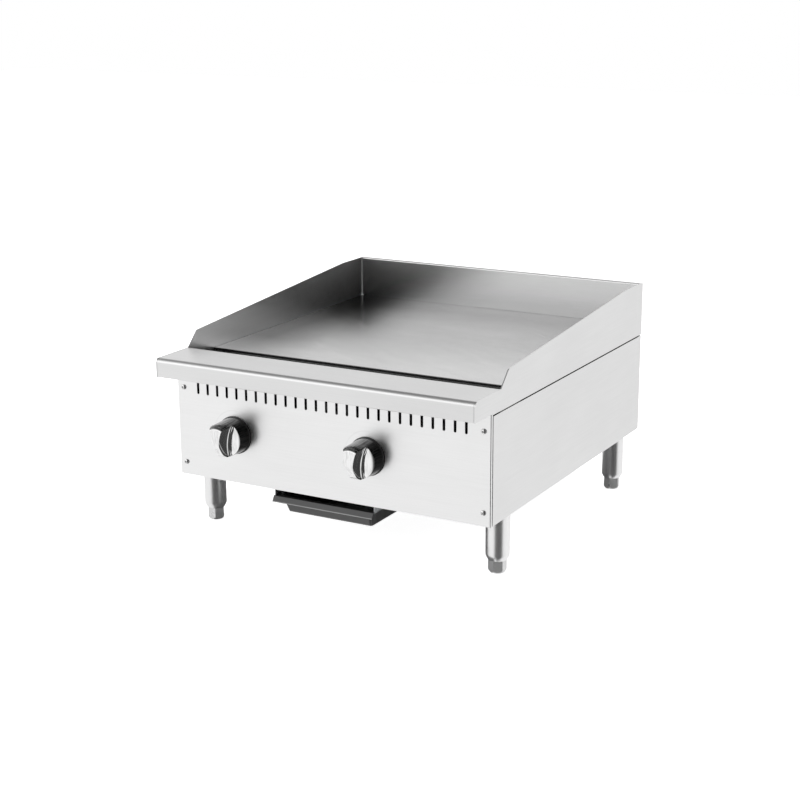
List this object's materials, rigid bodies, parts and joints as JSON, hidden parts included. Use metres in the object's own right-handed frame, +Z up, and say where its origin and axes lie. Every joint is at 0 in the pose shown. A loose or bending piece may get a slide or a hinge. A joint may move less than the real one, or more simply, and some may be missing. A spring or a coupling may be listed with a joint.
{
  "type": "flat top griddle",
  "caption": "Countertop gas griddle: thick steel plate between welded splashes, front grease trough, drip tray on rails, valve knobs and adjustable legs.",
  "frame": {"origin": "on the surface it stands on, under the middle of the overall box", "axes": "+Z up, -Y towards the user (the bullnose), +X to the user's right"},
  "size_m": [0.61, 0.726, 0.387],
  "materials": {
    "stainless": "brushed stainless, satin",
    "griddle_steel": "ground and polished cooking plate",
    "galvanised": "zinc coated sheet, matte spangle",
    "chrome": "bright plated",
    "black_plastic": "heat resistant moulding",
    "brass": "machined",
    "black_iron": "black lacquered steel pipe",
    "burner_steel": "aluminised steel, heat tinted",
    "tray_steel": "dull dark steel sheet",
    "leg_steel": "polished stainless tube",
    "foot_steel": "zinc plated"
  },
  "bodies": {
    "frame": {"splash_left": "stainless", "splash_right": "stainless", "splash_back": "stainless", "front_ledge": "stainless", "grease_trough": "stainless", "front_panel": "stainless", "side_panel_left": "stainless", "side_panel_right": "stainless", "griddle_plate": "griddle_steel", "grease_chute": "galvanised", "base_rail_left": "galvanised", "base_rail_right": "galvanised", "back_panel": "galvanised", "bottom_panel": "galvanised", "firewall": "galvanised", "burner_rest": "galvanised", "tray_rail_left": "galvanised", "tray_rail_right": "galvanised", "pilot_tube_left": "galvanised", "pilot_tube_right": "galvanised", "front_screw_left_lower": "chrome", "front_screw_left_upper": "chrome", "front_screw_right_lower": "chrome", "front_screw_right_upper": "chrome", "back_screw_left_lower": "chrome", "back_screw_left_upper": "chrome", "back_screw_right_lower": "chrome", "back_screw_right_upper": "chrome", "knob_bezel_left": "black_plastic", "knob_bezel_right": "black_plastic", "gas_valve_left": "brass", "gas_valve_right": "brass", "pilot_valve_left": "brass", "pilot_valve_right": "brass", "gas_manifold": "black_iron", "gas_inlet_pipe": "black_iron", "plate_support_left": "black_iron", "plate_support_right": "black_iron", "burner_left": "burner_steel", "burner_right": "burner_steel", "leg_front_left": "leg_steel", "leg_front_right": "leg_steel", "leg_rear_left": "leg_steel", "leg_rear_right": "leg_steel", "leg_nut_front_left": "foot_steel", "leg_nut_front_right": "foot_steel", "leg_nut_rear_left": "foot_steel", "leg_nut_rear_right": "foot_steel"},
    "knob_left": {"knob_left": "chrome", "valve_stem_left": "brass"},
    "knob_right": {"knob_right": "chrome", "valve_stem_right": "brass"},
    "air_shutter_left": {"air_shutter_left": "galvanised"},
    "air_shutter_right": {"air_shutter_right": "galvanised"},
    "drip_tray": {"drip_tray": "tray_steel"},
    "foot_front_left": {"foot_front_left": "foot_steel"},
    "foot_front_right": {"foot_front_right": "foot_steel"},
    "foot_rear_left": {"foot_rear_left": "foot_steel"},
    "foot_rear_right": {"foot_rear_right": "foot_steel"}
  },
  "joints": [
    {"name": "knob_left_turn", "type": "hinge", "parent": "frame", "child": "knob_left", "pos_m": [-0.186, -0.305, 0.1885], "axis": [0, -1, 0], "range_deg": [0, 180]},
    {"name": "knob_right_turn", "type": "hinge", "parent": "frame", "child": "knob_right", "pos_m": [0.078, -0.305, 0.1885], "axis": [0, -1, 0], "range_deg": [0, 180]},
    {"name": "air_shutter_left_turn", "type": "hinge", "parent": "frame", "child": "air_shutter_left", "pos_m": [-0.186, -0.225, 0.1885], "axis": [0, -1, 0], "range_deg": [0, 60]},
    {"name": "air_shutter_right_turn", "type": "hinge", "parent": "frame", "child": "air_shutter_right", "pos_m": [0.078, -0.225, 0.1885], "axis": [0, -1, 0], "range_deg": [0, 60]},
    {"name": "drip_tray_slide", "type": "slide", "parent": "frame", "child": "drip_tray", "axis": [0, -1, 0], "range_m": [0, 0.24]},
    {"name": "foot_front_left_adjust", "type": "slide", "parent": "frame", "child": "foot_front_left", "axis": [0, 0, -1], "range_m": [0, 0.025]},
    {"name": "foot_front_right_adjust", "type": "slide", "parent": "frame", "child": "foot_front_right", "axis": [0, 0, -1], "range_m": [0, 0.025]},
    {"name": "foot_rear_left_adjust", "type": "slide", "parent": "frame", "child": "foot_rear_left", "axis": [0, 0, -1], "range_m": [0, 0.025]},
    {"name": "foot_rear_right_adjust", "type": "slide", "parent": "frame", "child": "foot_rear_right", "axis": [0, 0, -1], "range_m": [0, 0.025]}
  ]
}
